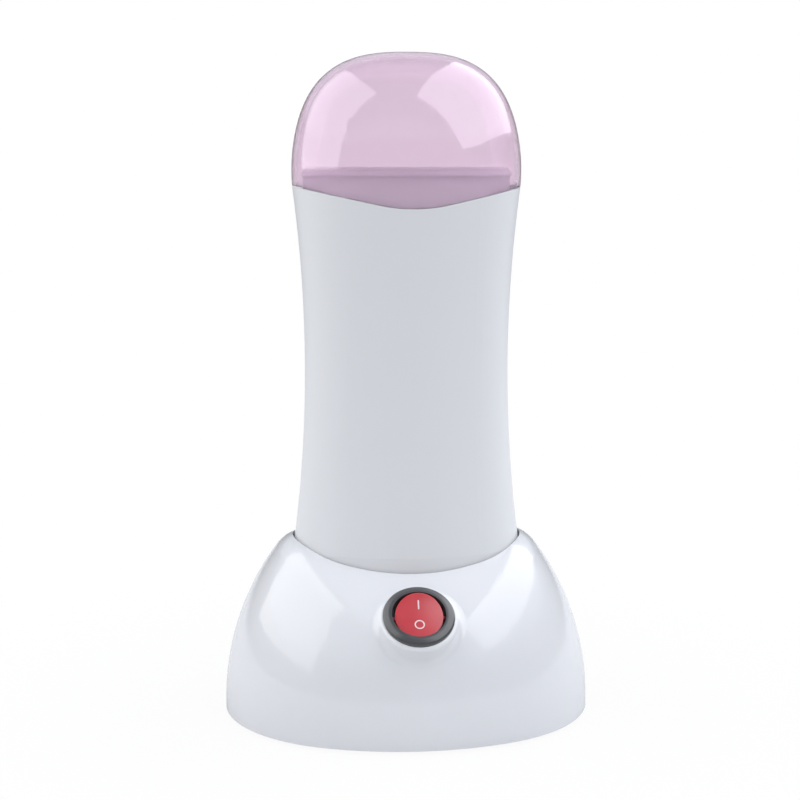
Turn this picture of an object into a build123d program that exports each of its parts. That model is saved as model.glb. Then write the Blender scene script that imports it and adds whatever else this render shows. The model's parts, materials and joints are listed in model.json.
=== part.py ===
from build123d import *
import os
from math import atan2, cos, degrees, radians, sin, sqrt, tan

os.makedirs("parts", exist_ok=True)

# Roll-on wax warmer: a handset with a lift-off cap, docked in a base with a round rocker switch.
# Millimetres. +Z is up, -Y is the switch side, and the origin is under the feet at the base's centre.

# Plan: every ring of the handset and the base is parallel to one oval of four arcs
oval_end_x = 12.9
oval_front_gain = 2.5
oval_front_y = (oval_end_x ** 2 - oval_front_gain ** 2) / (2 * oval_front_gain)

# Heating chamber for a 54 x 34 mm roll-on cartridge, and the felt round it
cartridge_half_y = 17.0
cartridge_play = 0.5
chamber_wall = 1.5
chamber_floor = 2.0
chamber_depth = 110.0
chamber_foot_radius = 2.0
chamber_flange = 4.0
chamber_flange_thickness = 1.6
chamber_screw_radius = 1.0
chamber_screw_play = 0.2
chamber_screw_head = 1.8
chamber_screw_head_height = 1.2
chamber_screw_skin = 1.2
chamber_screw_end_gap = 0.4
chamber_screw_turn = 50.0
insulation_play = 0.15
insulation_thickness = 1.2
insulation_rise = 14.0
insulation_drop = 22.0

# Handset side: a long hollow arc above the well, and an arc that draws in towards the foot
rim_z = 188.0
waist_z = 122.0
shell_wall = 2.2
shell_air = 1.95
felt_radius = cartridge_half_y + cartridge_play - oval_front_gain + chamber_wall + insulation_play
waist_radius = felt_radius + insulation_thickness + shell_air + shell_wall
side_arc_radius = 465.0
well_rim_z = 59.0
draw_in_radius = 53.0
foot_z = 34.0
foot_edge_radius = 3.0
lap_depth = 1.2
lap_split = 1.1
lap_play = 0.05

# Cap and its V-shaped meeting line with the handset
cap_seam_side_drop = 5.2
cap_seam_front_drop = 13.6
cap_seam_nose_radius = 55.0
cap_rise = 38.0
cap_base_drop = 9.0
cap_seam_side_z = rim_z - cap_seam_side_drop
cap_seam_front_z = rim_z - cap_seam_front_drop
cap_top_z = rim_z + cap_rise
cap_base_z = rim_z - cap_base_drop
cap_power = 2.8
cap_wall = 1.6
cap_seam_play = 0.3

# Neck collar
collar_wall = 1.6
collar_depth = 17.0
collar_foot_z = rim_z - collar_depth
collar_play = 0.1
collar_ledge = 1.4
collar_deck = 4.0
lip_height = 3.0
lip_edge_radius = 0.9
lip_play = 0.35

# Heater, its strap and its fuse under the chamber floor
chamber_floor_z = rim_z - chamber_depth
heater_length = 34.0
heater_width = 18.0
heater_height = 5.4
heater_edge_radius = 1.0
heater_groove_y = 7.6
groove_width = 1.2
groove_depth = 0.4
strap_thickness = 1.2
strap_width = 12.0
strap_screw_x = 22.0
strap_end = 4.5
strap_corner_radius = 3.0
strap_screw_length = 5.0
post_radius = 3.0
fuse_radius = 2.0
fuse_length = 11.0
fuse_y = 13.0
fuse_wire_radius = 0.5
fuse_wire_reach = 4.0
fuse_clip_thickness = 0.8
fuse_clip_width = 5.0
fuse_clip_mouth = 1.6

# Base outline: side arc, then an arch from front to back that closes the top
base_half_x = 63.4
base_low_z = 1.2
base_side_z = 3.5
base_side_radius = 90.0
arch_radius = base_half_x - oval_end_x + oval_front_gain
arch_z = 9.6
arch_edge_radius = 12.0
base_wall = 2.4
well_play = 0.45
well_wall = 1.8
well_floor = 2.0
well_floor_play = 0.4

# Round rocker switch: its barrel, and the bezel, room and rocker that go with it
barrel_radius = 9.9
barrel_depth = 6.8
barrel_wall = 1.05
bezel_overlap = 1.6
bezel_height = 1.9
bezel_side = 0.7
bezel_crown = 0.25
bezel_mouth = 0.65
bezel_radius = barrel_radius + bezel_overlap
rocker_room_radius = barrel_radius - barrel_wall
rocker_room_depth = 5.4
bezel_face_radius = rocker_room_radius + bezel_mouth

# Raised switch pad: how far its face centre stands out of the dome, its height, its slope and its form
pad_stand = 2.229937
pad_z = 43.1
pad_slope = 51.5
pad_margin = 0.2
pad_radius = bezel_radius + pad_margin
pad_round = 1.3
pad_draft = 5.0
pad_depth = 10.0
pad_blend = 4.0
pad_wall = 2.2
pad_room_depth = 12.0
panel_hole_play = 0.15
contact_box_x = 13.0
contact_box_y = 14.2
contact_box_depth = 14.0
contact_box_wall = 1.2
contact_box_side_wall = 1.7
contact_box_floor = 1.4

# Rocker, plunger and see-saw contact, in the pad's frame with the pivot line along X
pivot_depth = 1.0
rocker_tilt = 12.0
rocker_side_gap = 0.7
rocker_end_gap = 0.3
rocker_half_x = rocker_room_radius - rocker_side_gap
rocker_swing = rocker_room_radius - rocker_end_gap
rocker_end_height = 3.3
rocker_skirt_depth = 2.4
rocker_dish_depth = 1.2
rocker_stem_radius = 2.4
rocker_stem_length = 5.0
trunnion_radius = 1.2
trunnion_play = 0.06
trunnion_bury = 0.9
trunnion_seat = 0.2
journal_seat = 0.65
trunnion_root = rocker_half_x - trunnion_bury
trunnion_reach = rocker_room_radius + trunnion_seat
journal_half_length = rocker_room_radius + journal_seat
plunger_radius = 1.2
plunger_play = 0.05
plunger_tip_radius = 1.0
plunger_reach = 6.2
plunger_length = 3.2
spring_top = 0.6
spring_wall = 0.45
lever_gap = 0.3
lever_thickness = 0.6
lever_width = 4.0
lever_half_length = 5.4
lever_tilt = 8.0
fulcrum_radius = 0.5
fulcrum_play = 0.05
contact_y = -4.2
contact_radius = 1.1
contact_height = 0.5
contact_gap = 0.1
blade_width = 4.8
blade_thickness = 0.8
blade_reach = 21.0
blade_hole_radius = 0.9
blade_hole_rise = 2.2

# Dock plug in the well, inlet in the handset's foot
pin_radius = 1.18
pin_tip_radius = 0.8
pin_spacing = 8.6
pin_play = 0.08
nose_length = 15.0
nose_width = 7.4
nose_rise = 9.5
nose_top_z = foot_z + nose_rise
nose_edge_radius = 0.8
nose_top_wall = 1.2
nose_mouth_play = 0.3
socket_play = 0.4
inlet_wall = 1.6
inlet_play = 0.1
inlet_height = 16.0
inlet_top_z = foot_z + inlet_height
inlet_flange = 1.6
inlet_flange_height = 1.6
pin_sink = 2.5
pin_length = 18.5
pin_low_z = foot_z + pin_sink
pin_tail_z = pin_low_z + pin_length
contact_wall = 0.5
contact_depth = 12.0
contact_low_z = foot_z - contact_depth
contact_tail = 3.0
contact_end_gap = 3.0
plug_body_x = 24.0
plug_body_y = 13.0
plug_body_depth = 15.0
plug_body_z = foot_z - plug_body_depth
plug_flange_x = 40.0
plug_flange_y = 12.0
plug_flange_thickness = 2.0
plug_screw_x = 16.0
plug_screw_length = 6.0
plug_corner_radius = 2.0
plug_boss = 3.0
plug_hole_play = 0.15

# Floor plate, feet, cord outlet and terminal block
cover_low_z = 2.0
cover_thickness = 2.2
cover_play = 0.3
cover_screws_x = 24.0
cover_screws_inset = 10.3
cover_screw_sink = 1.0
cover_screw_length = 10.0
foot_pad_radius = 6.0
foot_pad_x = 44.0
foot_pad_y = 22.0
foot_pad_recess = 0.6
foot_pad_play = 0.1
foot_edge_round = 0.8
gland_z = 14.5
gland_bore_radius = 3.2
gland_radius = 5.0
gland_flange_radius = 7.0
gland_flange_thickness = 1.6
gland_play = 0.1
gland_inner_y = 41.0
gland_ring = 1.0
gland_ring_width = 1.5
gland_ring_gap = 0.9
gland_edge_radius = 0.7
clamp_y = 38.0
clamp_screw_x = 9.0
clamp_bar_x = 26.0
clamp_bar_y = 7.0
clamp_bar_z = 4.0
clamp_bar_corner = 2.0
clamp_groove_rise = 0.6
clamp_screw_length = 10.0
block_x = 30.0
block_y = 20.0
block_length = 20.0
block_width = 12.0
block_height = 11.0
block_edge = 1.2
terminal_rise = 5.0
terminal_radius = 1.6
terminal_screw_radius = 1.7

# Screws and leads
screw_radius = 1.25
screw_head_radius = 2.6
screw_head_height = 1.6
screw_slot_width = 0.6
screw_slot_length = 2.6
screw_slot_depth = 0.6
screw_play = 0.3
boss_radius = 3.2
lead_radius = 1.0
handset_screw_x = 24.0
handset_screw_rise = 13.0
handset_screw_z = foot_z + handset_screw_rise
handset_screw_sink = 4.0


def handset_radius(z):
    """End-arc radius of the handset's ring at height z."""
    if z >= well_rim_z:
        return waist_radius + side_arc_radius - sqrt(side_arc_radius ** 2 - (z - waist_z) ** 2)
    drawn = draw_in_radius - sqrt(draw_in_radius ** 2 - (well_rim_z - z) ** 2)
    return handset_radius(well_rim_z) - drawn


def base_radius(z):
    """End-arc radius of the base's ring at height z."""
    drawn = base_side_radius - sqrt(base_side_radius ** 2 - max(z - base_side_z, 0) ** 2)
    return base_half_x - oval_end_x - drawn


def base_wall_y(z):
    """Half the dome's depth at height z, set by its ovals or by its arch."""
    arch_y = sqrt(arch_radius ** 2 - max(z - arch_z, 0) ** 2)
    return min(base_radius(z) + oval_front_gain, arch_y)


def oval_face(radius, size=1.0):
    """The plan oval with this end radius; size draws its arc centres towards the middle."""
    end_x, gain, front_y = oval_end_x * size, oval_front_gain * size, oval_front_y * size
    joint_x = end_x + radius * oval_end_x / (oval_front_y + oval_front_gain)
    joint_y = radius * oval_front_y / (oval_front_y + oval_front_gain)
    half_x, half_y = end_x + radius, gain + radius
    right = ThreePointArc((joint_x, -joint_y), (half_x, 0), (joint_x, joint_y))
    back = ThreePointArc((joint_x, joint_y), (0, half_y), (-joint_x, joint_y))
    left = ThreePointArc((-joint_x, joint_y), (-half_x, 0), (-joint_x, -joint_y))
    front = ThreePointArc((-joint_x, -joint_y), (0, -half_y), (joint_x, -joint_y))
    return make_face([*right.edges(), *back.edges(), *left.edges(), *front.edges()])


def oval_block(radius, low, high):
    return extrude(Pos(0, 0, low) * oval_face(radius), high - low)


def oval_solid(curve):
    """A profile of end radius against height, turned round each of the plan's four arcs."""
    low, high = curve @ 0, curve @ 1

    def sector(shift, start, sweep_angle):
        side = Pos(shift, 0, 0) * curve
        rest = Polyline((low.X + shift, low.Y), (0, low.Y), (0, high.Y), (high.X + shift, high.Y))
        face = Plane.XZ * make_face([*side.edges(), *rest.edges()])
        return revolve(Rot(0, 0, start) * face, Axis.Z, sweep_angle)

    end_turn = degrees(atan2(oval_front_y, oval_end_x))
    front_turn = 90 - end_turn
    right = Pos(oval_end_x, 0, 0) * sector(0, -end_turn, 2 * end_turn)
    front = sector(oval_front_y + oval_front_gain, -90 - front_turn, 2 * front_turn)
    reach = 4 * base_half_x
    front = Pos(0, oval_front_y, 0) * front & Pos(0, -reach / 2, 0) * Box(reach, reach, 4 * reach)
    return right + front + Rot(0, 0, 180) * right + Rot(0, 0, 180) * front


def handset_form(low, high, grow):
    """The handset's outside between two heights, moved out by grow."""
    def arc(start, end):
        stations = [start, (start + end) / 2, end]
        return ThreePointArc(*[(handset_radius(z) + grow, z) for z in stations])

    if low >= well_rim_z:
        return oval_solid(arc(low, high))
    return oval_solid(Curve() + [arc(low, well_rim_z), arc(well_rim_z, high)])


def well_form(low, high, grow):
    """The space that takes the handset: its outside, straight above the rim height."""
    stations = [low, (low + well_rim_z) / 2, well_rim_z]
    bowl = ThreePointArc(*[(handset_radius(z) + grow, z) for z in stations])
    rim = handset_radius(well_rim_z) + grow
    return oval_solid(Curve() + [bowl, Line((rim, well_rim_z), (rim, high))])


def cylinder_between(radius, low, high, x=0.0, y=0.0):
    return Pos(x, y, low) * Cylinder(radius, high - low, align=(Align.CENTER, Align.CENTER, Align.MIN))


def block_between(size_x, size_y, low, high, x=0.0, y=0.0):
    return Pos(x, y, low) * Box(size_x, size_y, high - low, align=(Align.CENTER, Align.CENTER, Align.MIN))


def screw(length):
    """A screw whose head sits below z = 0 and whose shank points up."""
    head = cylinder_between(screw_head_radius, -screw_head_height, 0)
    slot = Pos(0, 0, -screw_head_height) * Box(screw_slot_length, screw_slot_width, 2 * screw_slot_depth)
    return head + cylinder_between(screw_radius, 0, length) - slot - Rot(0, 0, 90) * slot


def lead(points, turns=0.45, radius=lead_radius):
    """A round lead along straight runs joined by the largest tangent arcs that fit."""
    ends = [Vector(*p) for p in points]
    radii = []
    for before, here, after in zip(ends, ends[1:], ends[2:]):
        turn = (here - before).get_angle(after - here)
        shorter = min((here - before).length, (after - here).length)
        radii.append(turns * shorter / tan(radians(turn / 2)))
    print("lead radii", [round(r, 1) for r in radii])
    path = FilletPolyline(*points, radius=radii)
    start = Plane(origin=path @ 0, z_dir=path % 0)
    return sweep(start * Circle(radius), path=path)


# The pad's frame: X along the pivot, Y up the slope, Z out of the face
slope = radians(pad_slope)
pad_origin = (0, -base_wall_y(pad_z) - pad_stand, pad_z)
pad = Plane(origin=pad_origin, x_dir=(1, 0, 0), z_dir=(0, -cos(slope), sin(slope)))


def cap_seam_side(high, play):
    """The space above the cap's V-shaped meeting line, or the cap's own edge play above it."""
    rise = cap_seam_side_z - cap_seam_front_z
    wide = 2 * (handset_radius(cap_seam_side_z) + oval_end_x)
    rounded_off = cap_seam_nose_radius * (sqrt(1 + (2 * rise / wide) ** 2) - 1)
    side_z = cap_seam_front_z - rounded_off + 2 * rise + play
    nose = (0, cap_seam_front_z - rounded_off + play)
    line = FilletPolyline((-wide, side_z), nose, (wide, side_z), radius=cap_seam_nose_radius)
    top = Polyline((-wide, side_z), (-wide, high), (wide, high), (wide, side_z))
    outline = Plane.XZ * make_face([*line.edges(), *top.edges()])
    return extrude(outline, 2 * base_half_x, both=True)


def cap_dome(grow):
    """The cap's outside, moved out by grow: the handset's flare, then a squared-off dome."""
    sections = []
    for z in (cap_seam_front_z - lip_height, (cap_seam_front_z + cap_seam_side_z) / 2, cap_seam_side_z + 2):
        sections.append(Pos(0, 0, z) * oval_face(handset_radius(min(z, cap_seam_side_z)) + grow))
    radius = handset_radius(cap_seam_side_z)
    height = cap_top_z + grow - cap_base_z
    for angle in (30, 42, 54, 66, 78, 87):
        share = cos(radians(angle)) ** (2 / cap_power)
        z = cap_base_z + height * sin(radians(angle)) ** (2 / cap_power)
        sections.append(Pos(0, 0, z) * oval_face((radius + grow) * share, share))
    return loft(sections)


def make_cap():
    shell = cap_dome(0) - cap_dome(-cap_wall)
    return shell & cap_seam_side(cap_top_z + 10, cap_seam_play)


def handset_shell():
    """Both halves as one skin, with the collar's ledge, the foot's inlet hole and the screw bosses."""
    high = cap_seam_side_z + 4
    outer = handset_form(foot_z, high, 0)
    outer = fillet(outer.edges().group_by(Axis.Z)[0], foot_edge_radius)
    inner = handset_form(foot_z + shell_wall, high + 1, -shell_wall)
    ledge_radius = handset_radius(collar_foot_z) - shell_wall
    ledge = oval_block(ledge_radius + 0.3, collar_foot_z - 2, collar_foot_z)
    ledge -= oval_block(ledge_radius - collar_ledge, collar_foot_z - 3, collar_foot_z + 1)
    shell = outer - inner + ledge
    for x in (-handset_screw_x, handset_screw_x):
        boss = Pos(x, 0, handset_screw_z) * Rot(90, 0, 0) * Cylinder(boss_radius, 3 * waist_radius)
        shell += boss & handset_form(foot_z + 1, high, -shell_wall / 4)
    shell -= inlet_hole()
    return shell - cap_seam_side(high + 5, 0)


def inlet_hole():
    wall = 2 * (socket_play + inlet_wall + inlet_play)
    outline = SlotOverall(nose_length + wall, nose_width + wall)
    return extrude(Pos(0, 0, foot_z - 1) * outline, shell_wall + 2)


def lap(low, high, inner_grow, outer_grow, depth):
    band = handset_form(low, high, outer_grow) - handset_form(low, high, inner_grow)
    return band & (Pos(0, -depth / 2, (low + high) / 2) * Box(2 * base_half_x, depth, high - low))


def screw_seat_y(x, z):
    """Where a handset screw's head sits, sunk in the rear wall at x, z."""
    back_radius = handset_radius(z) + oval_front_gain + oval_front_y
    return sqrt(back_radius ** 2 - x ** 2) - oval_front_y - handset_screw_sink


def make_handset_shells():
    whole = handset_shell()
    far = 2 * base_half_x
    middle = (foot_z + rim_z) / 2
    front = whole & (Pos(0, -far / 2, middle) * Box(far, far, far * 2))
    rear = whole & (Pos(0, far / 2, middle) * Box(far, far, far * 2))
    low, high = foot_z + 6, cap_seam_front_z - 4
    rear += lap(low, high, -shell_wall, -lap_split - lap_play, lap_depth)
    front -= lap(low - lap_play, high + lap_play, -shell_wall - 1, -lap_split, lap_depth + lap_play)
    for x in (-handset_screw_x, handset_screw_x):
        seat = screw_seat_y(x, handset_screw_z)
        axis = Pos(x, 0, handset_screw_z) * Rot(-90, 0, 0)
        rear -= axis * cylinder_between(screw_radius + screw_play, -lap_depth - 1, far)
        rear -= axis * cylinder_between(screw_head_radius + screw_play, seat, far)
        front -= axis * cylinder_between(screw_radius, -11, 1)
    return front, rear


def make_handset_screws():
    group = []
    for x in (-handset_screw_x, handset_screw_x):
        seat = screw_seat_y(x, handset_screw_z)
        group.append(Pos(x, seat, handset_screw_z) * Rot(90, 0, 0) * screw(seat + 10))
    return Compound(group)


def make_neck_collar():
    """The oval ring that closes the handset: skirt, deck with the mouth, and the cap's lip."""
    skirt = handset_radius(collar_foot_z) - shell_wall - collar_play
    lip = handset_radius(cap_seam_front_z) - cap_wall - lip_play
    ring = oval_block(skirt, collar_foot_z, rim_z - lip_height) + oval_block(lip, rim_z - lip_height, rim_z)
    ring = fillet(ring.edges().group_by(Axis.Z)[-1], lip_edge_radius)
    ring -= oval_block(skirt - collar_wall, collar_foot_z - 1, rim_z - collar_deck)
    ring -= oval_block(chamber_radius(0), rim_z - collar_deck - 1, rim_z + 1)
    low, high = rim_z - collar_deck - 1, rim_z - chamber_screw_skin
    for x, y in chamber_screw_places():
        ring -= cylinder_between(chamber_screw_radius, low, high, x, y)
    return ring


def chamber_radius(grow):
    """End radius of the cartridge's room, moved out by grow."""
    return cartridge_half_y + cartridge_play - oval_front_gain + grow


def chamber_screw_places():
    reach = chamber_radius(chamber_wall + chamber_flange / 2)
    x = oval_end_x + reach * cos(radians(chamber_screw_turn))
    y = reach * sin(radians(chamber_screw_turn))
    return [(side * x, end * y) for side in (-1, 1) for end in (-1, 1)]


def make_heating_chamber():
    """A drawn aluminium oval cup with a mouth flange and two posts for the heater's strap."""
    top = rim_z - collar_deck
    cup = oval_block(chamber_radius(chamber_wall), chamber_floor_z, top)
    cup = fillet(cup.edges().group_by(Axis.Z)[0], chamber_foot_radius)
    cup += oval_block(chamber_radius(chamber_wall + chamber_flange), top - chamber_flange_thickness, top)
    cup -= oval_block(chamber_radius(0), chamber_floor_z + chamber_floor, top + 1)
    for x in (-strap_screw_x, strap_screw_x):
        cup += cylinder_between(post_radius, chamber_floor_z - heater_height, chamber_floor_z + 1, x)
        cup -= cylinder_between(screw_radius, chamber_floor_z - heater_height - 1, chamber_floor_z - 1, x)
    for x, y in chamber_screw_places():
        cup -= cylinder_between(chamber_screw_radius + chamber_screw_play, top - 3, top + 1, x, y)
    return cup


def make_chamber_screws():
    low = rim_z - collar_deck - chamber_flange_thickness
    top = rim_z - chamber_screw_skin - chamber_screw_end_gap
    screws = []
    for x, y in chamber_screw_places():
        shank = cylinder_between(chamber_screw_radius, low, top, x, y)
        head = cylinder_between(chamber_screw_head, low - chamber_screw_head_height, low, x, y)
        screws.append(shank + head)
    return Compound(screws)


def make_insulation_sleeve():
    low, high = chamber_floor_z + insulation_rise, rim_z - insulation_drop
    sleeve = oval_block(felt_radius + insulation_thickness, low, high)
    return sleeve - oval_block(felt_radius, low - 1, high + 1)


heater_low_z = chamber_floor_z - heater_height


def make_ptc_heater():
    """An aluminium-cased heating block, grooved along its underside."""
    case = block_between(heater_length, heater_width, heater_low_z, chamber_floor_z)
    case = fillet(case.edges().filter_by(Axis.X), heater_edge_radius)
    groove = Pos(0, heater_groove_y, heater_low_z) * Box(heater_length + 2, groove_width, 2 * groove_depth)
    return case - groove - Rot(0, 0, 180) * groove


def make_heater_clamp():
    length = 2 * (strap_screw_x + strap_end)
    strap = block_between(length, strap_width, heater_low_z - strap_thickness, heater_low_z)
    strap = fillet(strap.edges().filter_by(Axis.Z), strap_corner_radius)
    for x in (-strap_screw_x, strap_screw_x):
        strap -= cylinder_between(screw_radius + screw_play, heater_low_z - 3, heater_low_z + 1, x)
    return strap


def make_clamp_screws():
    low = heater_low_z - strap_thickness
    return Compound([Pos(x, 0, low) * screw(strap_screw_length) for x in (-strap_screw_x, strap_screw_x)])


fuse_z = chamber_floor_z - fuse_radius - fuse_clip_thickness


def make_thermal_fuse():
    body = Cylinder(fuse_radius, fuse_length) + Cylinder(fuse_wire_radius, fuse_length + 2 * fuse_wire_reach)
    return Pos(0, fuse_y, fuse_z) * Rot(0, 90, 0) * body


def make_fuse_clip():
    """A sheet clip under the chamber floor whose spring band goes round the fuse."""
    outer = fuse_radius + fuse_clip_thickness
    axis = Pos(0, fuse_y, fuse_z) * Rot(0, 90, 0)
    low = chamber_floor_z - fuse_clip_thickness
    foot = block_between(fuse_clip_width, 2 * outer + 1, low, chamber_floor_z, 0, fuse_y)
    clip = axis * Cylinder(outer, fuse_clip_width) + foot
    clip -= Pos(0, fuse_y, fuse_z - outer) * Box(2 * fuse_clip_width, fuse_clip_mouth, outer)
    return clip - axis * Cylinder(fuse_radius, 2 * fuse_clip_width)


def make_handset_inlet():
    """The socket block in the handset's foot, with a slot-shaped room for the dock's nose."""
    room = SlotOverall(nose_length + 2 * socket_play, nose_width + 2 * socket_play)
    wall = 2 * (socket_play + inlet_wall)
    skirt = wall + 2 * inlet_flange
    outside = SlotOverall(nose_length + wall, nose_width + wall)
    flange = SlotOverall(nose_length + skirt, nose_width + skirt)
    body = extrude(Pos(0, 0, foot_z) * outside, inlet_top_z - foot_z)
    body += extrude(Pos(0, 0, foot_z + shell_wall) * flange, inlet_flange_height)
    body -= extrude(Pos(0, 0, foot_z - 1) * room, nose_top_z + socket_play - foot_z + 1)
    for x in (-pin_spacing / 2, pin_spacing / 2):
        body -= cylinder_between(pin_radius, foot_z, inlet_top_z + 1, x)
    return body


def make_inlet_pins():
    pins = []
    for x in (-pin_spacing / 2, pin_spacing / 2):
        pin = cylinder_between(pin_radius, pin_low_z, pin_tail_z, x)
        pins.append(fillet(pin.edges().group_by(Axis.Z)[0], pin_tip_radius))
    return Compound(pins)


def base_form(low, grow):
    """The base's dome: parallel ovals along the side arc, under an arch from front to back."""
    high = arch_z + arch_radius + grow + 2
    stations = [base_side_z, (base_side_z + high) / 2, high]
    side = ThreePointArc(*[(base_radius(z) + grow, z) for z in stations])
    foot = base_radius(base_side_z) + grow
    ovals = oval_solid(Curve() + [Line((foot, low), (foot, base_side_z)), side])
    reach = arch_radius + grow
    top = ThreePointArc((-reach, arch_z), (0, arch_z + reach), (reach, arch_z))
    legs = Polyline((-reach, arch_z), (-reach, low - 1), (reach, low - 1), (reach, arch_z))
    arch = extrude(Plane.YZ * make_face([*top.edges(), *legs.edges()]), 2 * base_half_x, both=True)
    return ovals & arch


def arch_edges(form):
    """The line where the arch meets the ovals: the only free-form edges of the dome."""
    plain = (GeomType.CIRCLE, GeomType.LINE)
    return [edge for edge in form.edges() if edge.geom_type not in plain]


cover_radius = base_radius(cover_low_z) - base_wall - cover_play


def base_posts():
    y = cover_radius + oval_front_gain - cover_screws_inset
    return [(side * cover_screws_x, end * y) for side in (-1, 1) for end in (-1, 1)]


cover_top_z = cover_low_z + cover_thickness
well_floor_z = foot_z - well_floor_play
plug_top_z = well_floor_z - well_floor - plug_boss


def raise_pad(dome):
    """The dome with the round pad standing on its front: a flat face, a rounded rim and a blended foot."""
    turn = radians(pad_draft)
    rim_end = (pad_radius + pad_round * cos(turn), pad_round * (sin(turn) - 1))
    low = (rim_end[0] + (rim_end[1] + pad_depth) * tan(turn), -pad_depth)
    outline = Polyline((pad_radius, 0), (0, 0), (0, -pad_depth), low, rim_end)
    outline += CenterArc((pad_radius, -pad_round), pad_round, pad_draft, 90 - pad_draft)
    raised = pad * Rot(0, 0, 90) * revolve(Plane.XZ * make_face(outline.edges()), Axis.Z)
    solid = dome + raised
    return fillet(new_edges(dome, raised, combined=solid), pad_blend)


def make_base_shell():
    """The dome with the handset's well, the raised pad, the posts and the cord's hole."""
    dome = base_form(base_low_z, 0)
    dome = fillet(arch_edges(dome), arch_edge_radius)
    solid = raise_pad(dome)
    hollow = base_form(base_low_z - 1, -base_wall)
    hollow += pad * cylinder_between(pad_radius + pad_round - pad_wall, -pad_room_depth, -pad_wall)
    hollow -= well_form(well_floor_z - well_floor, arch_z + arch_radius + 5, well_play + well_wall)
    shell = solid - hollow
    for x, y in base_posts():
        shell += cylinder_between(boss_radius, cover_top_z, pad_z, x, y) & dome
        shell -= cylinder_between(screw_radius, cover_top_z - 1, cover_top_z + cover_screw_length, x, y)
    for x in (-clamp_screw_x, clamp_screw_x):
        shell += cylinder_between(boss_radius, gland_z, pad_z, x, clamp_y) & dome
        shell -= cylinder_between(screw_radius, gland_z - 1, gland_z + clamp_screw_length - 2, x, clamp_y)
    for x in (-plug_screw_x, plug_screw_x):
        shell += cylinder_between(boss_radius, plug_top_z, plug_top_z + plug_boss + 0.5, x)
        shell -= cylinder_between(screw_radius, plug_top_z - 1, plug_top_z + plug_boss + 1, x)
    shell -= well_form(well_floor_z, arch_z + arch_radius + 5, well_play)
    shell -= pad * cylinder_between(barrel_radius + panel_hole_play, -pad_wall - 2, 1)
    plug_hole = SlotOverall(nose_length + 2 * plug_hole_play, nose_width + 2 * plug_hole_play)
    shell -= extrude(Pos(0, 0, plug_top_z) * plug_hole, plug_boss + well_floor + 1)
    through = Pos(0, 0, gland_z) * Rot(-90, 0, 0)
    outside = arch_radius + 4
    shell -= through * cylinder_between(gland_radius + gland_play, gland_inner_y, outside)
    shell -= through * cylinder_between(gland_flange_radius + 2 * gland_play, base_wall_y(gland_z), outside)
    return shell


def make_base_cover():
    """The floor plate: it sits inside the skirt and is screwed up into the posts."""
    plate = oval_block(cover_radius, cover_low_z, cover_top_z)
    for x, y in base_posts():
        plate -= cylinder_between(screw_radius + screw_play, cover_low_z - 1, cover_top_z + 1, x, y)
        recess = cover_low_z + cover_screw_sink
        plate -= cylinder_between(screw_head_radius + screw_play, cover_low_z - 1, recess, x, y)
    for x, y in foot_pad_places():
        recess = cover_low_z + foot_pad_recess
        plate -= cylinder_between(foot_pad_radius + foot_pad_play, cover_low_z - 1, recess, x, y)
    return plate


def foot_pad_places():
    return [(x, y) for x in (-foot_pad_x, foot_pad_x) for y in (-foot_pad_y, foot_pad_y)]


def make_base_feet():
    feet = []
    for x, y in foot_pad_places():
        foot = cylinder_between(foot_pad_radius, 0, cover_low_z + foot_pad_recess, x, y)
        feet.append(fillet(foot.edges().group_by(Axis.Z)[0], foot_edge_round))
    return Compound(feet)


def make_cover_screws():
    low = cover_low_z + cover_screw_sink
    return Compound([Pos(x, y, low) * screw(cover_screw_length) for x, y in base_posts()])


def make_dock_plug():
    """The plug under the well: flange, body, and a nose with two sockets standing in the well."""
    low = plug_top_z - plug_flange_thickness
    flange = extrude(Pos(0, 0, low) * SlotOverall(plug_flange_x, plug_flange_y), plug_flange_thickness)
    body = block_between(plug_body_x, plug_body_y, plug_body_z, plug_top_z)
    body = fillet(body.edges().filter_by(Axis.Z), plug_corner_radius)
    nose = extrude(Pos(0, 0, low) * SlotOverall(nose_length, nose_width), nose_top_z - low)
    plug = flange + body + fillet(nose.edges().group_by(Axis.Z)[-1], nose_edge_radius)
    for x in (-pin_spacing / 2, pin_spacing / 2):
        sleeve_radius = pin_radius + pin_play + contact_wall
        plug -= cylinder_between(sleeve_radius, contact_low_z, nose_top_z - nose_top_wall, x)
        plug -= cylinder_between(pin_radius + nose_mouth_play, nose_top_z - 2, nose_top_z + 1, x)
        plug -= cylinder_between(pin_radius, plug_body_z - 1, contact_low_z + 1, x)
    for x in (-plug_screw_x, plug_screw_x):
        plug -= cylinder_between(screw_radius + screw_play, low - 1, plug_top_z + 1, x)
    return plug


def make_dock_contacts():
    """Two sleeves that the inlet's pins slide into, each with a soldering tail."""
    sleeves = []
    for x in (-pin_spacing / 2, pin_spacing / 2):
        outer = pin_radius + pin_play + contact_wall
        sleeve = cylinder_between(outer, contact_low_z, nose_top_z - nose_top_wall, x)
        sleeve -= cylinder_between(pin_radius + pin_play, pin_low_z - contact_end_gap, nose_top_z, x)
        sleeve += cylinder_between(pin_radius, plug_body_z - contact_tail, contact_low_z + 1, x)
        sleeves.append(sleeve)
    return Compound(sleeves)


def make_dock_screws():
    low = plug_top_z - plug_flange_thickness
    return Compound([Pos(x, 0, low) * screw(plug_screw_length) for x in (-plug_screw_x, plug_screw_x)])


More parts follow.
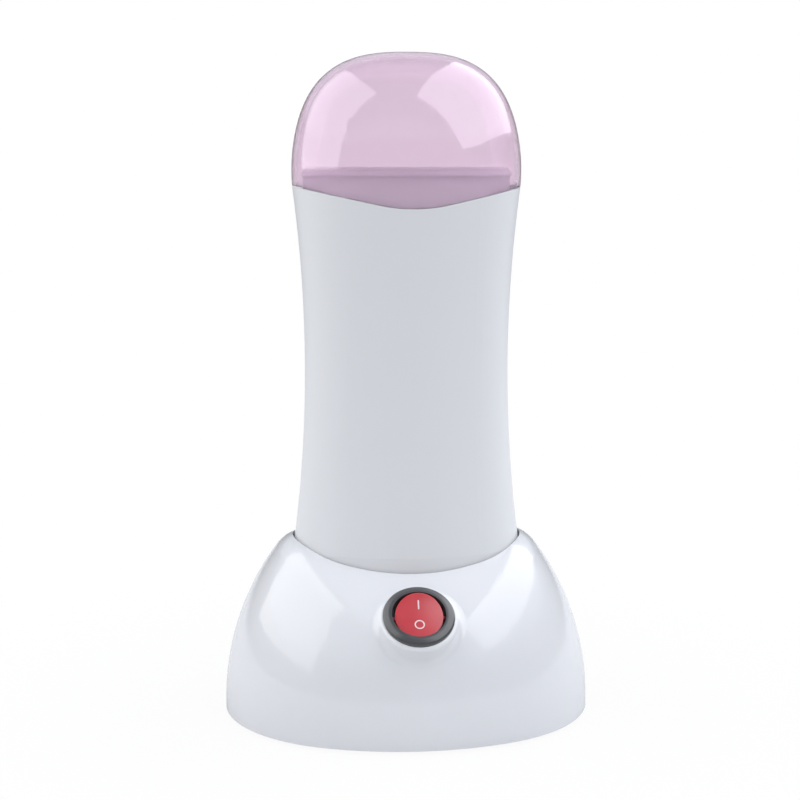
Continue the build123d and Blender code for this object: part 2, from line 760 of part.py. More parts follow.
def make_switch_body():
    """One black moulding: bezel, barrel and the contact box, open to the front for the rocker."""
    wall_top = (bezel_radius, bezel_side)
    face_edge = (bezel_face_radius, bezel_height)
    outline = Polyline(face_edge, (0, bezel_height), (0, 0), (bezel_radius, 0), wall_top)
    outline += SagittaArc(face_edge, wall_top, bezel_crown)
    body = revolve(Plane.XZ * make_face(outline.edges()), Axis.Z)
    body += cylinder_between(barrel_radius, -barrel_depth, 0)
    body += block_between(contact_box_x, contact_box_y, -contact_box_depth, -barrel_depth + 1)
    body -= cylinder_between(rocker_room_radius, -rocker_room_depth, bezel_height + 1)
    room_x = contact_box_x - 2 * contact_box_side_wall
    room_y = contact_box_y - 2 * contact_box_wall
    body -= block_between(room_x, room_y, contact_box_floor - contact_box_depth, -rocker_room_depth + 1)
    journal = Rot(0, 90, 0) * Cylinder(trunnion_radius + trunnion_play, 2 * journal_half_length)
    body -= Pos(0, 0, -pivot_depth) * journal
    for y in (0, contact_y):
        slot = block_between(blade_width, blade_thickness, -contact_box_depth - 1, -rocker_room_depth, 0, y)
        body -= slot
    return body


fulcrum_z = -pivot_depth - plunger_reach - lever_gap - lever_thickness - fulcrum_play - fulcrum_radius


def blade_hole(y):
    """The round hole in a blade's tail, for its lead."""
    hole = Rot(90, 0, 0) * Cylinder(blade_hole_radius, 4 * blade_thickness)
    return Pos(0, y, blade_hole_rise - blade_reach) * hole


def make_switch_common():
    """The middle blade: its rounded top edge is what the lever rocks on."""
    blade = block_between(blade_width, blade_thickness, -blade_reach, fulcrum_z)
    blade += Pos(0, 0, fulcrum_z) * Rot(0, 90, 0) * Cylinder(fulcrum_radius, blade_width)
    return blade - blade_hole(0)


def fixed_contact_z():
    """Height of the fixed contact's face: just under the lever's button when it is switched on."""
    turn = radians(lever_tilt)
    low = -lever_thickness - contact_height
    lever_plane = fulcrum_radius + fulcrum_play + lever_thickness
    button_z = (lever_plane + low) * cos(turn) - abs(contact_y) * sin(turn)
    return fulcrum_z + button_z - contact_radius * sin(turn) - contact_gap


def make_switch_fixed():
    top = fixed_contact_z()
    seat_top = top - contact_height + 0.1
    blade = block_between(blade_width, blade_thickness, -blade_reach, seat_top, 0, contact_y)
    seat = block_between(blade_width, 2 * contact_radius, seat_top - blade_thickness, seat_top, 0, contact_y)
    button = cylinder_between(contact_radius, seat_top - 0.1, top, 0, contact_y)
    return blade + seat + button - blade_hole(contact_y)


def make_switch_lever():
    """The see-saw strip on the fulcrum, with the contact button under its front end."""
    low = fulcrum_radius + fulcrum_play
    strip = block_between(lever_width, 2 * lever_half_length, low, low + lever_thickness)
    strip += cylinder_between(contact_radius, low - contact_height, low + 0.1, 0, contact_y)
    return Pos(0, 0, fulcrum_z) * Rot(-lever_tilt, 0, 0) * strip


def rocker_pose():
    return Pos(0, 0, -pivot_depth) * Rot(rocker_tilt, 0, 0)


def make_switch_rocker():
    """A round dished rocker: ends cut by the swing arc, with a stem for the plunger and two trunnions."""
    drum = Rot(0, 90, 0) * Cylinder(rocker_swing, 4 * rocker_half_x)
    disc = cylinder_between(rocker_half_x, -rocker_skirt_depth, rocker_end_height) & drum
    half = rocker_half_x
    dish_radius = (half ** 2 + rocker_dish_depth ** 2) / (2 * rocker_dish_depth)
    dish_z = rocker_end_height - rocker_dish_depth + dish_radius
    disc -= Pos(0, 0, dish_z) * Rot(0, 90, 0) * Cylinder(dish_radius, 4 * half)
    disc += cylinder_between(rocker_stem_radius, -rocker_stem_length, -rocker_skirt_depth + 1)
    disc -= cylinder_between(plunger_radius + plunger_play, -rocker_stem_length - 1, spring_top)
    for side in (-90, 90):
        disc += Rot(0, side, 0) * cylinder_between(trunnion_radius, trunnion_root, trunnion_reach)
    return rocker_pose() * disc


def make_rocker_plunger():
    tip = cylinder_between(plunger_radius, -plunger_reach, -plunger_reach + plunger_length)
    return rocker_pose() * fillet(tip.edges().group_by(Axis.Z)[0], plunger_tip_radius)


def make_rocker_spring():
    low = -plunger_reach + plunger_length
    sleeve = cylinder_between(plunger_radius, low, spring_top)
    return rocker_pose() * (sleeve - cylinder_between(plunger_radius - spring_wall, low - 1, spring_top + 1))


def make_cord_gland():
    """A grommet through the rear wall: a flange outside, a snap ring inside and the cord's bore."""
    wall_out = base_wall_y(gland_z)
    out = cylinder_between(gland_flange_radius, wall_out, wall_out + gland_flange_thickness)
    out = fillet(out.edges().group_by(Axis.Z)[-1], gland_edge_radius)
    ring_top = wall_out - base_wall - gland_ring_gap
    neck = cylinder_between(gland_radius, ring_top - gland_ring_width, wall_out + 0.5)
    ring = cylinder_between(gland_radius + gland_ring, ring_top - gland_ring_width, ring_top)
    bore = cylinder_between(gland_bore_radius, gland_inner_y, wall_out + 5)
    return Pos(0, 0, gland_z) * Rot(-90, 0, 0) * (out + neck + ring - bore)


def make_cord_clamp():
    """A bar that would press the cord against its two posts."""
    bar = block_between(clamp_bar_x, clamp_bar_y, gland_z - clamp_bar_z, gland_z, 0, clamp_y)
    bar = fillet(bar.edges().filter_by(Axis.Z), clamp_bar_corner)
    groove = Rot(90, 0, 0) * Cylinder(gland_bore_radius, 2 * clamp_bar_y)
    bar -= Pos(0, clamp_y, gland_z + clamp_groove_rise) * groove
    for x in (-clamp_screw_x, clamp_screw_x):
        low = gland_z - clamp_bar_z - 1
        bar -= cylinder_between(screw_radius + screw_play, low, gland_z + 1, x, clamp_y)
    return bar


def make_clamp_bar_screws():
    low = gland_z - clamp_bar_z
    screws = [Pos(x, clamp_y, low) * screw(clamp_screw_length) for x in (-clamp_screw_x, clamp_screw_x)]
    return Compound(screws)


def make_terminal_block():
    """A two-way screw block standing on the floor plate."""
    low = cover_top_z
    body = block_between(block_length, block_width, low, low + block_height, block_x, block_y)
    body = chamfer(body.edges().group_by(Axis.Z)[-1], block_edge)
    for x in terminal_xs():
        body -= Pos(x, block_y, terminal_z) * Rot(90, 0, 0) * Cylinder(terminal_radius, 2 * block_width)
        body -= cylinder_between(terminal_screw_radius, terminal_z, low + block_height + 1, x, block_y)
    return body


terminal_z = cover_top_z + terminal_rise


def terminal_xs():
    return [block_x - block_length / 4, block_x + block_length / 4]


def pad_point(x, y, z):
    place = pad.from_local_coords(Vector(x, y, z))
    return (place.X, place.Y, place.Z)


def base_leads():
    """Block to fixed blade, common blade to one dock contact, block to the other contact."""
    front_y = block_y - block_width / 2
    live_x, neutral_x = terminal_xs()
    blade_tail = -blade_reach - 0.1
    tail_z = plug_body_z - contact_tail
    fixed_end = pad_point(0, contact_y, blade_tail)
    common_end = pad_point(0, 0, blade_tail)
    common_out = pad_point(0, 0, blade_tail - 6)
    fixed_out = pad_point(0, contact_y, blade_tail - 5)
    dock_x = pin_spacing / 2
    live = lead([(live_x, front_y, terminal_z), (live_x, front_y - 8, terminal_z), (22, -3, 7.2),
                 (14, -14, 7.4), (3, -20, 10), fixed_out, fixed_end])
    switched = lead([common_end, common_out, (-7, -18, 14), (-10, -8, 10.5), (-dock_x, 0, 9.5),
                     (-dock_x, 0, tail_z)])
    neutral = lead([(neutral_x, front_y, terminal_z), (neutral_x, front_y - 6, terminal_z), (29, 3, 11.5),
                    (18, 1, 12), (dock_x, 0, 9.5), (dock_x, 0, tail_z)])
    return live, switched, neutral


def handset_leads():
    """Pin to fuse, fuse to heater, and heater to the other pin."""
    half = pin_spacing / 2
    fuse_end = fuse_length / 2 + fuse_wire_reach
    side = heater_length / 2
    live = lead([(half, 0, pin_tail_z), (half, 0, pin_tail_z + 5), (14, 8, 64), (16, fuse_y, 70),
                 (15, fuse_y, fuse_z), (fuse_end, fuse_y, fuse_z)])
    fused = lead([(-fuse_end, fuse_y, fuse_z), (-14, fuse_y, fuse_z), (-21, 12.5, fuse_z), (-22, 6.5, fuse_z),
                  (-side, 6.5, fuse_z)])
    neutral = lead([(-half, 0, pin_tail_z), (-half, 0, pin_tail_z + 5), (-14, -7, 64), (-21, -7.5, 69),
                    (-21.5, -6.5, fuse_z), (-side, -6.5, fuse_z)])
    return live, fused, neutral


front_shell, rear_shell = make_handset_shells()
live_lead, switched_lead, neutral_lead = base_leads()
handset_live, handset_fused, handset_neutral = handset_leads()

nodes = {
    "cap": make_cap(),
    "handset_front_shell": front_shell,
    "handset_rear_shell": rear_shell,
    "handset_screws": make_handset_screws(),
    "neck_collar": make_neck_collar(),
    "heating_chamber": make_heating_chamber(),
    "chamber_screws": make_chamber_screws(),
    "insulation_sleeve": make_insulation_sleeve(),
    "ptc_heater": make_ptc_heater(),
    "heater_clamp": make_heater_clamp(),
    "clamp_screws": make_clamp_screws(),
    "thermal_fuse": make_thermal_fuse(),
    "fuse_clip": make_fuse_clip(),
    "handset_inlet": make_handset_inlet(),
    "inlet_pins": make_inlet_pins(),
    "handset_live_lead": handset_live,
    "handset_fused_lead": handset_fused,
    "handset_neutral_lead": handset_neutral,
    "base_shell": make_base_shell(),
    "base_cover": make_base_cover(),
    "base_feet": make_base_feet(),
    "cover_screws": make_cover_screws(),
    "dock_plug": make_dock_plug(),
    "dock_contacts": make_dock_contacts(),
    "dock_screws": make_dock_screws(),
    "switch_body": pad * make_switch_body(),
    "switch_common": pad * make_switch_common(),
    "switch_fixed": pad * make_switch_fixed(),
    "switch_lever": pad * make_switch_lever(),
    "switch_rocker": pad * make_switch_rocker(),
    "rocker_plunger": pad * make_rocker_plunger(),
    "rocker_spring": pad * make_rocker_spring(),
    "cord_gland": make_cord_gland(),
    "cord_clamp": make_cord_clamp(),
    "cord_clamp_screws": make_clamp_bar_screws(),
    "terminal_block": make_terminal_block(),
    "base_live_lead": live_lead,
    "base_switched_lead": switched_lead,
    "base_neutral_lead": neutral_lead,
}

for name, shape in nodes.items():
    export_step(shape, f"parts/{name}.step")

print("rocker pivot", pad_point(0, 0, -pivot_depth))
print("lever pivot", pad_point(0, 0, fulcrum_z))
print("gland face y", base_wall_y(gland_z))
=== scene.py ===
import json
from math import asin, cos, inf, pi, radians, sin, sqrt

import bpy
from mathutils import Matrix, Vector


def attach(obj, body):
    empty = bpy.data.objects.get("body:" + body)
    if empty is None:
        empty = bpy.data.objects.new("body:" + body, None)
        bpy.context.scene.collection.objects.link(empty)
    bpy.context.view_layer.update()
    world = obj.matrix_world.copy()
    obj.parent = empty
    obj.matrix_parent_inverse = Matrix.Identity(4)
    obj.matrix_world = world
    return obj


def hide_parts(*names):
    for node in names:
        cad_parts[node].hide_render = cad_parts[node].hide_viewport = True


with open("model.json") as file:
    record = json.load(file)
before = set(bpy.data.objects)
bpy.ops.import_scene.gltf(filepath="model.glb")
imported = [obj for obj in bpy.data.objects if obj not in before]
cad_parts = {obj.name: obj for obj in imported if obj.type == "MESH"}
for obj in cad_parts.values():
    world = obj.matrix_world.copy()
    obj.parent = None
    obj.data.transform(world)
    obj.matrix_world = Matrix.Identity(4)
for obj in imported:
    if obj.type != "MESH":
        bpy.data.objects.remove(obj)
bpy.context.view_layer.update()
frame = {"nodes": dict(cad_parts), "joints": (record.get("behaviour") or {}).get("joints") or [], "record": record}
nodes = frame["nodes"]
mm = 0.001
print("frame loaded,", len(nodes), "pieces")


# Camera: a long lens a little above the rim, turned so that the front faces slightly to the right
view = {
    "turn": radians(-5.2),
    "dip": radians(8.1),
    "distance": 560 * mm,
    "height": 188 * mm,
    "sideStep": 2.2 * mm,
    "lens": 73.7,
    "film": 36,
}


def makeCamera():
    data = bpy.data.cameras.new("camera")
    data.lens = view["lens"]
    data.sensor_width = view["film"]
    camera = bpy.data.objects.new("camera", data)
    bpy.context.scene.collection.objects.link(camera)
    ahead = Vector((-sin(view["turn"]), cos(view["turn"]), 0))
    right = Vector((cos(view["turn"]), sin(view["turn"]), 0))
    camera.location = (
        -ahead * view["distance"] - right * view["sideStep"] + Vector((0, 0, view["height"])))
    camera.rotation_euler = (pi / 2 - view["dip"], 0, view["turn"])
    bpy.context.scene.camera = camera


# Node helpers for the studio and the finishes

def setInputs(node, settings):
    for name, value in settings.items():
        node.inputs[name].default_value = value


def addNode(tree, kind, settings=None, **traits):
    node = tree.nodes.new(kind)
    for name, value in traits.items():
        setattr(node, name, value)
    setInputs(node, settings or {})
    return node


def join(tree, *pairs):
    for start, end in pairs:
        tree.links.new(start, end)


# Studio: a white tent, bright and cool overhead and dimmer near the horizon, with a panel at each side.
# The camera sees plain white instead, also through the cap.
studio = {
    "roof": ((0.86, 0.91, 1.0), 0.565),
    "horizon": ((1.0, 1.0, 1.0), 0.19),
    "roofEdge": (0.23, 0.30),       # sines of the heights between which the horizon turns into the roof
    "seenWhite": ((1.0, 1.0, 1.0), 1.0),
    "panels": [
        {"name": "leftPanel", "turn": -86, "rise": 34, "width": 1.46, "height": 1.12,
         "power": 7.5, "colour": (1.0, 1.0, 1.0)},
        {"name": "rightPanel", "turn": 82, "rise": 44, "width": 1.86, "height": 0.98,
         "power": 10.9, "colour": (0.95, 0.965, 1.0)},
    ],
    "panelDistance": 0.90,
    "panelAim": Vector((0, 0, 0.16)),
}


def makeTent():
    world = bpy.data.worlds.new("tent")
    bpy.context.scene.world = world
    world.use_nodes = True
    tree = world.node_tree
    horizon = tree.nodes["Background"]
    roof = addNode(tree, "ShaderNodeBackground")
    white = addNode(tree, "ShaderNodeBackground")
    for part, name in ((horizon, "horizon"), (roof, "roof"), (white, "seenWhite")):
        tint, level = studio[name]
        setInputs(part, {"Color": (*tint, 1), "Strength": level})
    where = addNode(tree, "ShaderNodeTexCoord")
    split = addNode(tree, "ShaderNodeSeparateXYZ")
    low, high = studio["roofEdge"]
    rise = addNode(tree, "ShaderNodeMapRange", {
        "From Min": low, "From Max": high}, interpolation_type="SMOOTHSTEP")
    tent = addNode(tree, "ShaderNodeMixShader")
    path = addNode(tree, "ShaderNodeLightPath")
    either = addNode(tree, "ShaderNodeMath", operation="MAXIMUM")
    mix = addNode(tree, "ShaderNodeMixShader")
    join(tree,
         (where.outputs["Generated"], split.inputs["Vector"]),
         (split.outputs["Z"], rise.inputs["Value"]),
         (rise.outputs["Result"], tent.inputs["Fac"]),
         (horizon.outputs["Background"], tent.inputs[1]),
         (roof.outputs["Background"], tent.inputs[2]),
         (path.outputs["Is Camera Ray"], either.inputs[0]),
         (path.outputs["Is Transmission Ray"], either.inputs[1]),
         (either.outputs["Value"], mix.inputs["Fac"]),
         (tent.outputs["Shader"], mix.inputs[1]),
         (white.outputs["Background"], mix.inputs[2]),
         (mix.outputs["Shader"], tree.nodes["World Output"].inputs["Surface"]))


def makePanel(panel):
    data = bpy.data.lights.new(panel["name"], "AREA")
    data.shape = "RECTANGLE"
    data.size, data.size_y, data.energy = panel["width"], panel["height"], panel["power"]
    data.color = panel["colour"]
    lamp = bpy.data.objects.new(panel["name"], data)
    bpy.context.scene.collection.objects.link(lamp)
    turn, rise = radians(panel["turn"]), radians(panel["rise"])     # round from the front, and up
    away = Vector((sin(turn) * cos(rise), -cos(turn) * cos(rise), sin(rise)))
    lamp.location = studio["panelAim"] + studio["panelDistance"] * away
    lamp.rotation_euler = (-away).to_track_quat("-Z", "Y").to_euler()


# Floor: pale paper that lights the object from below, seen as white with a soft shadow beside the base
paper = {
    "size": 6.0,
    "shader": {"Base Color": (0.70, 0.70, 0.70, 1), "Roughness": 0.9, "Specular IOR Level": 0.0},
    "glowNear": 0.94,               # share of plain white beside the object
    "glowReach": (0.07, 0.22),      # distances between which it turns plain white
}


def makeFloor():
    bpy.ops.mesh.primitive_plane_add(size=paper["size"])
    floor = bpy.context.object
    floor.name = "floor"
    material = bpy.data.materials.new("floorPaper")
    material.use_nodes = True
    tree = material.node_tree
    sheet = tree.nodes["Principled BSDF"]
    setInputs(sheet, paper["shader"])
    place = addNode(tree, "ShaderNodeTexCoord")
    away = addNode(tree, "ShaderNodeVectorMath", operation="LENGTH")
    near, far = paper["glowReach"]
    spread = addNode(tree, "ShaderNodeMapRange", {
        "From Min": near, "From Max": far, "To Min": paper["glowNear"], "To Max": 1.0},
        interpolation_type="SMOOTHSTEP")
    glow = addNode(tree, "ShaderNodeEmission", {"Color": (1, 1, 1, 1), "Strength": 1.0})
    share = addNode(tree, "ShaderNodeMixShader")
    seen = addNode(tree, "ShaderNodeMixShader")
    path = addNode(tree, "ShaderNodeLightPath")
    join(tree,
         (place.outputs["Object"], away.inputs[0]),
         (away.outputs["Value"], spread.inputs["Value"]),
         (spread.outputs["Result"], share.inputs["Fac"]),
         (sheet.outputs["BSDF"], share.inputs[1]),
         (glow.outputs["Emission"], share.inputs[2]),
         (path.outputs["Is Camera Ray"], seen.inputs["Fac"]),
         (sheet.outputs["BSDF"], seen.inputs[1]),
         (share.outputs["Shader"], seen.inputs[2]),
         (seen.outputs["Shader"], tree.nodes["Material Output"].inputs["Surface"]))
    floor.data.materials.append(material)


makeCamera()
makeTent()
for panel in studio["panels"]:
    makePanel(panel)
makeFloor()
print("camera and studio ready")


# Finishes: soft clouds of colour and of roughness, and layers of fine bumps
#   slot: the record's slot whose pieces wear it
#   colour: scale of the clouds, darker tone, lighter tone
#   gloss: scale of the clouds, lowest roughness, highest roughness
#   grain: scale, strength and depth of each layer of bumps
clouds = {
    "spread": (0.2, 0.8),           # levels of the noise between which the tones run
    "roughness": 0.5,
    "colourDetail": 1.5,
    "glossDetail": 4,
    "grainDetail": 2,
}
whiteGloss = (30.0, 0.28, 0.33)
whiteGrain = [(900.0, 0.05, 0.0002), (60.0, 0.02, 0.001)]
finishes = {
    "handsetWhite": {
        "slot": "white_shell",
        "shader": {"IOR": 1.5, "Coat Weight": 0.2, "Coat Roughness": 0.16},
        "colour": (9.0, (0.722, 0.727, 0.741), (0.734, 0.739, 0.753)), "colourDetail": 0,
        "gloss": whiteGloss, "grain": whiteGrain,
    },
    # painted light: the handset's white with its colour painted brighter, standing in for the light that the cap
    # keeps off the neck
    "neckWhitePaintedLight": {
        "shader": {"IOR": 1.5, "Coat Weight": 0.2, "Coat Roughness": 0.16},
        "colour": (9.0, (0.91, 0.88, 0.93), (0.93, 0.90, 0.95)), "colourDetail": 0,
        "gloss": whiteGloss, "grain": whiteGrain,
    },
    "baseWhite": {
        "slot": "white_base",
        "shader": {"IOR": 1.5, "Coat Weight": 1.0, "Coat Roughness": 0.08},
        "colour": (9.0, (0.742, 0.747, 0.770), (0.754, 0.759, 0.782)), "colourDetail": 0,
        "gloss": whiteGloss, "grain": whiteGrain,
    },
    "capPink": {
        "slot": "cap",
        "shader": {"IOR": 1.58, "Transmission Weight": 0.94, "Roughness": 0.05},
        "colour": (12.0, (0.945, 0.865, 0.93), (0.965, 0.885, 0.95)),
        "grain": [(35.0, 0.02, 0.001)],
        "dye": {"Color": (0.70, 0.34, 0.64, 1), "Density": 90.0},
    },
    "bezelBlack": {
        "slot": "black_plastic",
        "shader": {"IOR": 1.5, "Coat Weight": 0.8, "Coat Roughness": 0.22},
        "colour": (200.0, (0.036, 0.037, 0.039), (0.048, 0.049, 0.052)),
        "gloss": (300.0, 0.28, 0.38),
        "grain": [(2500.0, 0.1, 0.00005)],
    },
    "rockerRed": {
        "slot": "red_rocker",
        "shader": {"IOR": 1.49, "Subsurface Weight": 0.3, "Subsurface Scale": 0.002,
                   "Coat Weight": 0.9, "Coat Roughness": 0.28},
        "colour": (150.0, (0.52, 0.024, 0.036), (0.57, 0.032, 0.046)),
        "gloss": (400.0, 0.18, 0.26),
        "grain": [(1500.0, 0.08, 0.00005)],
    },
    "markWhite": {
        "shader": {"IOR": 1.45},
        "colour": (900.0, (0.78, 0.62, 0.63), (0.86, 0.72, 0.72)),
        "gloss": (900.0, 0.4, 0.55),
        "grain": [(4000.0, 0.1, 0.00002)],
    },
    "castAluminium": {
        "slot": "chamber_metal",
        "shader": {"Metallic": 1.0},
        "colour": (500.0, (0.52, 0.53, 0.55), (0.62, 0.63, 0.65)),
        "gloss": (1000.0, 0.35, 0.5),
        "grain": [(1800.0, 0.3, 0.0001)],
    },
    "springSteel": {
        "slot": "strap_steel",
        "shader": {"Metallic": 1.0},
        "colour": (300.0, (0.50, 0.50, 0.50), (0.60, 0.60, 0.60)),
        "gloss": (600.0, 0.22, 0.35),
        "grain": [(900.0, 0.1, 0.0001)],
    },
    "screwZinc": {
        "slot": "screw_steel",
        "shader": {"Metallic": 1.0},
        "colour": (700.0, (0.55, 0.56, 0.58), (0.68, 0.68, 0.68)),
        "gloss": (1400.0, 0.2, 0.35),
        "grain": [(1500.0, 0.1, 0.0001)],
    },
    "contactBrass": {
        "slot": "contact_brass",
        "shader": {"Metallic": 1.0},
        "colour": (600.0, (0.62, 0.42, 0.16), (0.75, 0.54, 0.24)),
        "gloss": (1200.0, 0.2, 0.4),
        "grain": [(1500.0, 0.1, 0.0001)],
    },
    "feltGrey": {
        "slot": "felt",
        "shader": {"IOR": 1.45},
        "colour": (1400.0, (0.42, 0.41, 0.39), (0.60, 0.59, 0.56)),
        "gloss": (2800.0, 0.85, 0.98),
        "grain": [(2600.0, 0.9, 0.0004)],
    },
    "fuseBody": {
        "slot": "fuse_body",
        "shader": {"IOR": 1.45},
        "colour": (400.0, (0.55, 0.45, 0.30), (0.62, 0.52, 0.36)),
        "gloss": (800.0, 0.3, 0.45),
        "grain": [(1200.0, 0.1, 0.0001)],
    },
    "footRubber": {
        "slot": "foot_rubber",
        "shader": {"IOR": 1.45},
        "colour": (500.0, (0.035, 0.035, 0.036), (0.055, 0.055, 0.056)),
        "gloss": (1000.0, 0.6, 0.8),
        "grain": [(2200.0, 0.3, 0.0001)],
    },
    "liveBrown": {
        "slot": "live_lead",
        "shader": {"IOR": 1.45},
        "colour": (300.0, (0.16, 0.07, 0.035), (0.20, 0.09, 0.045)),
        "gloss": (600.0, 0.35, 0.5),
        "grain": [(1500.0, 0.1, 0.0001)],
    },
    "neutralBlue": {
        "slot": "neutral_lead",
        "shader": {"IOR": 1.45},
        "colour": (300.0, (0.03, 0.10, 0.35), (0.04, 0.13, 0.42)),
        "gloss": (600.0, 0.35, 0.5),
        "grain": [(1500.0, 0.1, 0.0001)],
    },
}


def addClouds(tree, place, scale, detail):
    noise = addNode(tree, "ShaderNodeTexNoise", {
        "Scale": scale, "Detail": detail, "Roughness": clouds["roughness"]})
    join(tree, (place, noise.inputs["Vector"]))
    return noise.outputs["Fac"]


def addColour(tree, shader, place, look):
    scale, *tones = look["colour"]
    cloud = addClouds(tree, place, scale, look.get("colourDetail", clouds["colourDetail"]))
    ramp = addNode(tree, "ShaderNodeValToRGB")
    ramp.color_ramp.interpolation = "EASE"
    for stop, position, tone in zip(ramp.color_ramp.elements, clouds["spread"], tones):
        stop.position = position
        stop.color = (*tone, 1)
    join(tree, (cloud, ramp.inputs["Fac"]), (ramp.outputs["Color"], shader.inputs["Base Color"]))


def addGloss(tree, shader, place, look):
    scale, low, high = look["gloss"]
    cloud = addClouds(tree, place, scale, clouds["glossDetail"])
    start, end = clouds["spread"]
    spread = addNode(tree, "ShaderNodeMapRange", {
        "From Min": start, "From Max": end, "To Min": low, "To Max": high},
        interpolation_type="SMOOTHSTEP")
    join(tree, (cloud, spread.inputs["Value"]), (spread.outputs["Result"], shader.inputs["Roughness"]))


def addGrain(tree, shader, place, look):
    normal = None
    for scale, strength, depth in look["grain"]:
        cloud = addClouds(tree, place, scale, clouds["grainDetail"])
        bump = addNode(tree, "ShaderNodeBump", {"Strength": strength, "Distance": depth})
        join(tree, (cloud, bump.inputs["Height"]))
        if normal:
            join(tree, (normal, bump.inputs["Normal"]))
        normal = bump.outputs["Normal"]
    join(tree, (normal, shader.inputs["Normal"]))


def makeFinish(name, look):
    material = bpy.data.materials.new(name)
    material.use_nodes = True
    tree = material.node_tree
    shader = tree.nodes["Principled BSDF"]
    setInputs(shader, look["shader"])
    place = addNode(tree, "ShaderNodeTexCoord").outputs["Object"]
    addColour(tree, shader, place, look)
    if "gloss" in look:
        addGloss(tree, shader, place, look)
    addGrain(tree, shader, place, look)
    if "dye" in look:               # tint that deepens with the wall
        dye = addNode(tree, "ShaderNodeVolumeAbsorption", look["dye"])
        join(tree, (dye.outputs["Volume"], tree.nodes["Material Output"].inputs["Volume"]))
    return material


def dress(piece, finish):
    piece.data.materials.clear()
    piece.data.materials.append(materials[finish])


materials = {name: makeFinish(name, look) for name, look in finishes.items()}
finishOfSlot = {look["slot"]: name for name, look in finishes.items() if "slot" in look}
for subpart in frame["record"]["subparts"]:
    dress(nodes[subpart["node"]], finishOfSlot[subpart["material_slot"]])
# the neck wears the white painted brighter, as painted light in place of the light lost through the cap
dress(nodes["neck_collar"], "neckWhitePaintedLight")
print("finishes on")


# Helpers for picking and shaping pieces
mergeWithin = 0.001 * mm


def deselectAll():
    if bpy.context.object and bpy.context.object.mode != "OBJECT":
        bpy.ops.object.mode_set(mode="OBJECT")
    bpy.ops.object.select_all(action="DESELECT")


def pickOnly(piece):
    deselectAll()
    piece.select_set(True)
    bpy.context.view_layer.objects.active = piece


def applyModifier(piece, kind, **traits):
    modifier = piece.modifiers.new(kind.lower(), kind)
    for name, value in traits.items():
        setattr(modifier, name, value)
    bpy.ops.object.modifier_apply(modifier=modifier.name)


def copyOfNode(name, newName):
    # wears the node's finish, and its faces are joined at the corners that they share
    piece = nodes[name].copy()
    piece.data = nodes[name].data.copy()
    piece.name = piece.data.name = newName
    bpy.context.scene.collection.objects.link(piece)
    pickOnly(piece)
    bpy.ops.mesh.customdata_custom_splitnormals_clear()
    bpy.ops.object.mode_set(mode="EDIT")
    bpy.ops.mesh.select_all(action="SELECT")
    bpy.ops.mesh.remove_doubles(threshold=mergeWithin)
    bpy.ops.mesh.select_all(action="DESELECT")
    bpy.ops.object.mode_set(mode="OBJECT")
    return piece


def stretchPicked(factors, centre):
    bpy.ops.object.mode_set(mode="EDIT")
    bpy.ops.transform.resize(value=factors, center_override=centre)
    bpy.ops.mesh.select_all(action="DESELECT")
    bpy.ops.object.mode_set(mode="OBJECT")


# Bezel of the switch: its outer ring is drawn out towards the edge of the pad
bezel = {
    "centre": Vector((0, -43.3, 43.1)) * mm,
    "slope": radians(51.5),         # how far the face of the pad leans back from upright
    "ringInner": 10.8 * mm,
    "ringLow": -0.2 * mm,           # just under the face of the pad
    "spread": 1.024,                # of the ring, out from the centre
    "smooth": radians(30),
}


def makeBezel():
    piece = copyOfNode("switch_body", "switchBezel")
    outward = Vector((0, -cos(bezel["slope"]), sin(bezel["slope"])))
    for corner in piece.data.vertices:
        reach = corner.co - bezel["centre"]
        high = reach.dot(outward)
        corner.select = high > bezel["ringLow"] and (reach - high * outward).length > bezel["ringInner"]
    stretchPicked((bezel["spread"],) * 3, bezel["centre"])
    bpy.ops.object.shade_smooth_by_angle(angle=bezel["smooth"])
    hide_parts("switch_body")
    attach(piece, "base")


# Neck: its top edge is drawn in to a soft lip that catches the light from above
neck = {
    "foot": 185.3 * mm,             # where the lip begins
    "steps": [(186.0 * mm, 0.993), (186.8 * mm, 0.978), (187.4 * mm, 0.96)],    # height and size in plan
    "slack": 0.05 * mm,             # in the heights between which a step's corners are picked
    "smooth": radians(35),
}


def makeNeck():
    piece = copyOfNode("neck_collar", "neckLip")
    heights = [height for height, _ in neck["steps"]]
    for height in [neck["foot"]] + heights:
        bpy.ops.object.mode_set(mode="EDIT")
        bpy.ops.mesh.select_all(action="SELECT")
        bpy.ops.mesh.bisect(plane_co=(0, 0, height), plane_no=(0, 0, 1))
        bpy.ops.mesh.select_all(action="DESELECT")
        bpy.ops.object.mode_set(mode="OBJECT")
    # only the outer wall is drawn in, so the mouth keeps its size
    outer = [
        corner.normal.x * corner.co.x + corner.normal.y * corner.co.y > 0
        for corner in piece.data.vertices]
    for (height, drawIn), nextHeight in zip(neck["steps"], heights[1:] + [inf]):
        for corner, isOuter in zip(piece.data.vertices, outer):
            corner.select = isOuter and height - neck["slack"] < corner.co.z < nextHeight - neck["slack"]
        stretchPicked((drawIn, drawIn, 1), (0, 0, height))
    bpy.ops.object.shade_smooth_by_angle(angle=neck["smooth"])
    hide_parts("neck_collar")
    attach(piece, "handset")


